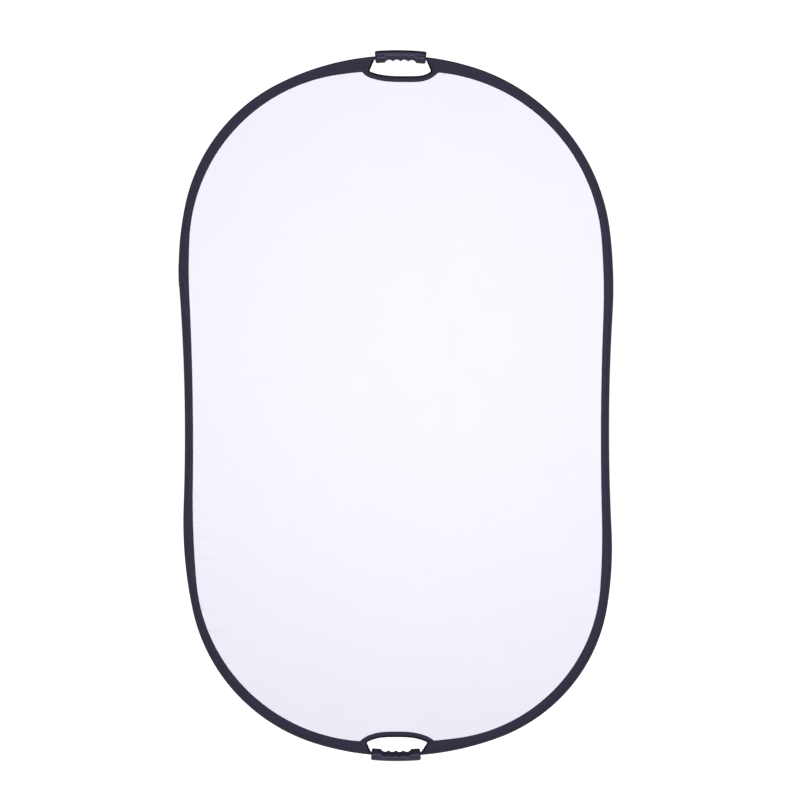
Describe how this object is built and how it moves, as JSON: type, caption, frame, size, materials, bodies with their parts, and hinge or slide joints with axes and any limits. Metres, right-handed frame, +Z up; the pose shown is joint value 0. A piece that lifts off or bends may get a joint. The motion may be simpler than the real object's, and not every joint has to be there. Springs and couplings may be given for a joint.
{
  "type": "collapsible reflector",
  "caption": "Oval two-sided collapsible light reflector: a white and a silver sheet held taut by a spring hoop in a black fabric sleeve, with a finger-grooved grip and hand hole at each end.",
  "frame": {"origin": "centre of the panel, in its middle plane", "axes": "+Z up the panel's long axis, +X to the right as seen from the white side, +Y out of the silver back; the white side faces -Y"},
  "size_m": [1.0151, 0.026, 1.6733],
  "materials": {
    "white_fabric": "opaque matt white coated cloth",
    "silver_fabric": "fine-grained silver laminate on cloth",
    "black_fabric": "plain-woven black nylon",
    "binding_tape": "folded black bias tape",
    "grip_plastic": "fine-textured black moulding",
    "spring_steel": "bright rolled strip",
    "screw_steel": "black oxide"
  },
  "bodies": {
    "centre": {"white_sheet_centre": "white_fabric", "silver_sheet_centre": "silver_fabric", "sleeve_centre": "black_fabric", "hoop_centre": "spring_steel"},
    "upper_1": {"white_sheet_upper_1": "white_fabric", "silver_sheet_upper_1": "silver_fabric", "sleeve_upper_1": "black_fabric", "hoop_upper_1": "spring_steel"},
    "upper_2": {"white_sheet_upper_2": "white_fabric", "silver_sheet_upper_2": "silver_fabric", "sleeve_upper_2": "black_fabric", "hoop_upper_2": "spring_steel"},
    "upper_3": {"white_sheet_upper_3": "white_fabric", "silver_sheet_upper_3": "silver_fabric", "sleeve_upper_3": "black_fabric", "hoop_upper_3": "spring_steel", "hoop_ferrule": "spring_steel", "sleeve_lap": "black_fabric"},
    "upper_4": {"white_sheet_upper_4": "white_fabric", "silver_sheet_upper_4": "silver_fabric", "sleeve_upper_4": "black_fabric", "hoop_upper_4": "spring_steel"},
    "upper_5": {"white_sheet_upper_5": "white_fabric", "silver_sheet_upper_5": "silver_fabric", "sleeve_upper_5": "black_fabric", "hoop_upper_5": "spring_steel", "top_grip_front": "grip_plastic", "top_grip_rear": "grip_plastic", "top_grip_screws": "screw_steel", "top_hand_binding": "binding_tape"},
    "lower_1": {"white_sheet_lower_1": "white_fabric", "silver_sheet_lower_1": "silver_fabric", "sleeve_lower_1": "black_fabric", "hoop_lower_1": "spring_steel"},
    "lower_2": {"white_sheet_lower_2": "white_fabric", "silver_sheet_lower_2": "silver_fabric", "sleeve_lower_2": "black_fabric", "hoop_lower_2": "spring_steel"},
    "lower_3": {"white_sheet_lower_3": "white_fabric", "silver_sheet_lower_3": "silver_fabric", "sleeve_lower_3": "black_fabric", "hoop_lower_3": "spring_steel"},
    "lower_4": {"white_sheet_lower_4": "white_fabric", "silver_sheet_lower_4": "silver_fabric", "sleeve_lower_4": "black_fabric", "hoop_lower_4": "spring_steel"},
    "lower_5": {"white_sheet_lower_5": "white_fabric", "silver_sheet_lower_5": "silver_fabric", "sleeve_lower_5": "black_fabric", "hoop_lower_5": "spring_steel", "bottom_grip_front": "grip_plastic", "bottom_grip_rear": "grip_plastic", "bottom_grip_screws": "screw_steel", "bottom_hand_binding": "binding_tape"}
  },
  "joints": [
    {"name": "bend_upper_1", "type": "hinge", "parent": "centre", "child": "upper_1", "pos_m": [0, 0, 0.05], "axis": [1, 0, 0], "range_deg": [-27.3, 27.3], "stiffness_Nm_per_rad": 21},
    {"name": "bend_upper_2", "type": "hinge", "parent": "upper_1", "child": "upper_2", "pos_m": [0, 0, 0.15], "axis": [1, 0, 0], "range_deg": [-26.36, 26.36], "stiffness_Nm_per_rad": 21},
    {"name": "bend_upper_3", "type": "hinge", "parent": "upper_2", "child": "upper_3", "pos_m": [0, 0, 0.25], "axis": [1, 0, 0], "range_deg": [-24.46, 24.46], "stiffness_Nm_per_rad": 21},
    {"name": "bend_upper_4", "type": "hinge", "parent": "upper_3", "child": "upper_4", "pos_m": [0, 0, 0.35], "axis": [1, 0, 0], "range_deg": [-21.71, 21.71], "stiffness_Nm_per_rad": 21},
    {"name": "bend_upper_5", "type": "hinge", "parent": "upper_4", "child": "upper_5", "pos_m": [0, 0, 0.45], "axis": [1, 0, 0], "range_deg": [-18.19, 18.19], "stiffness_Nm_per_rad": 21},
    {"name": "bend_lower_1", "type": "hinge", "parent": "centre", "child": "lower_1", "pos_m": [0, 0, -0.05], "axis": [-1, 0, 0], "range_deg": [-27.32, 27.32], "stiffness_Nm_per_rad": 21},
    {"name": "bend_lower_2", "type": "hinge", "parent": "lower_1", "child": "lower_2", "pos_m": [0, 0, -0.15], "axis": [-1, 0, 0], "range_deg": [-26.36, 26.36], "stiffness_Nm_per_rad": 21},
    {"name": "bend_lower_3", "type": "hinge", "parent": "lower_2", "child": "lower_3", "pos_m": [0, 0, -0.25], "axis": [-1, 0, 0], "range_deg": [-24.46, 24.46], "stiffness_Nm_per_rad": 21},
    {"name": "bend_lower_4", "type": "hinge", "parent": "lower_3", "child": "lower_4", "pos_m": [0, 0, -0.35], "axis": [-1, 0, 0], "range_deg": [-21.71, 21.71], "stiffness_Nm_per_rad": 21},
    {"name": "bend_lower_5", "type": "hinge", "parent": "lower_4", "child": "lower_5", "pos_m": [0, 0, -0.45], "axis": [-1, 0, 0], "range_deg": [-18.19, 18.19], "stiffness_Nm_per_rad": 21}
  ],
  "couplings": [
    {"joint": "bend_upper_2", "follows": "bend_upper_1", "ratio": 0.9647},
    {"joint": "bend_upper_3", "follows": "bend_upper_1", "ratio": 0.8954},
    {"joint": "bend_upper_4", "follows": "bend_upper_1", "ratio": 0.7945},
    {"joint": "bend_upper_5", "follows": "bend_upper_1", "ratio": 0.6655},
    {"joint": "bend_lower_1", "follows": "bend_upper_1", "ratio": 1},
    {"joint": "bend_lower_2", "follows": "bend_upper_1", "ratio": 0.9647},
    {"joint": "bend_lower_3", "follows": "bend_upper_1", "ratio": 0.8954},
    {"joint": "bend_lower_4", "follows": "bend_upper_1", "ratio": 0.7945},
    {"joint": "bend_lower_5", "follows": "bend_upper_1", "ratio": 0.6655}
  ]
}
